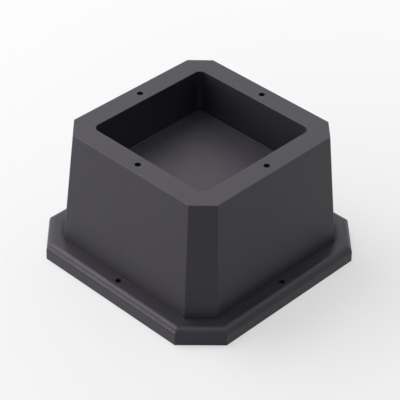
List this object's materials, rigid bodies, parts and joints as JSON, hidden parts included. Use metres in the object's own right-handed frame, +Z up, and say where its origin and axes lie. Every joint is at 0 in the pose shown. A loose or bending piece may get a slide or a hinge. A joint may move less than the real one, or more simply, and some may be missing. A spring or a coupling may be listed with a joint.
{
  "type": "bed riser",
  "caption": "Square bed riser with tapered walls, cut corners, a square recess on top for a furniture leg and a rounded foot flange; hollow and ribbed underneath.",
  "frame": {"origin": "middle of the base plane", "axes": "+Z up, out of the leg recess; X and Y square to the sides of the recess"},
  "size_m": [0.1338, 0.1338, 0.076],
  "materials": {
    "black_polypropylene": "fine moulded texture, satin"
  },
  "bodies": {
    "root": {"riser_body": "black_polypropylene"}
  },
  "joints": []
}
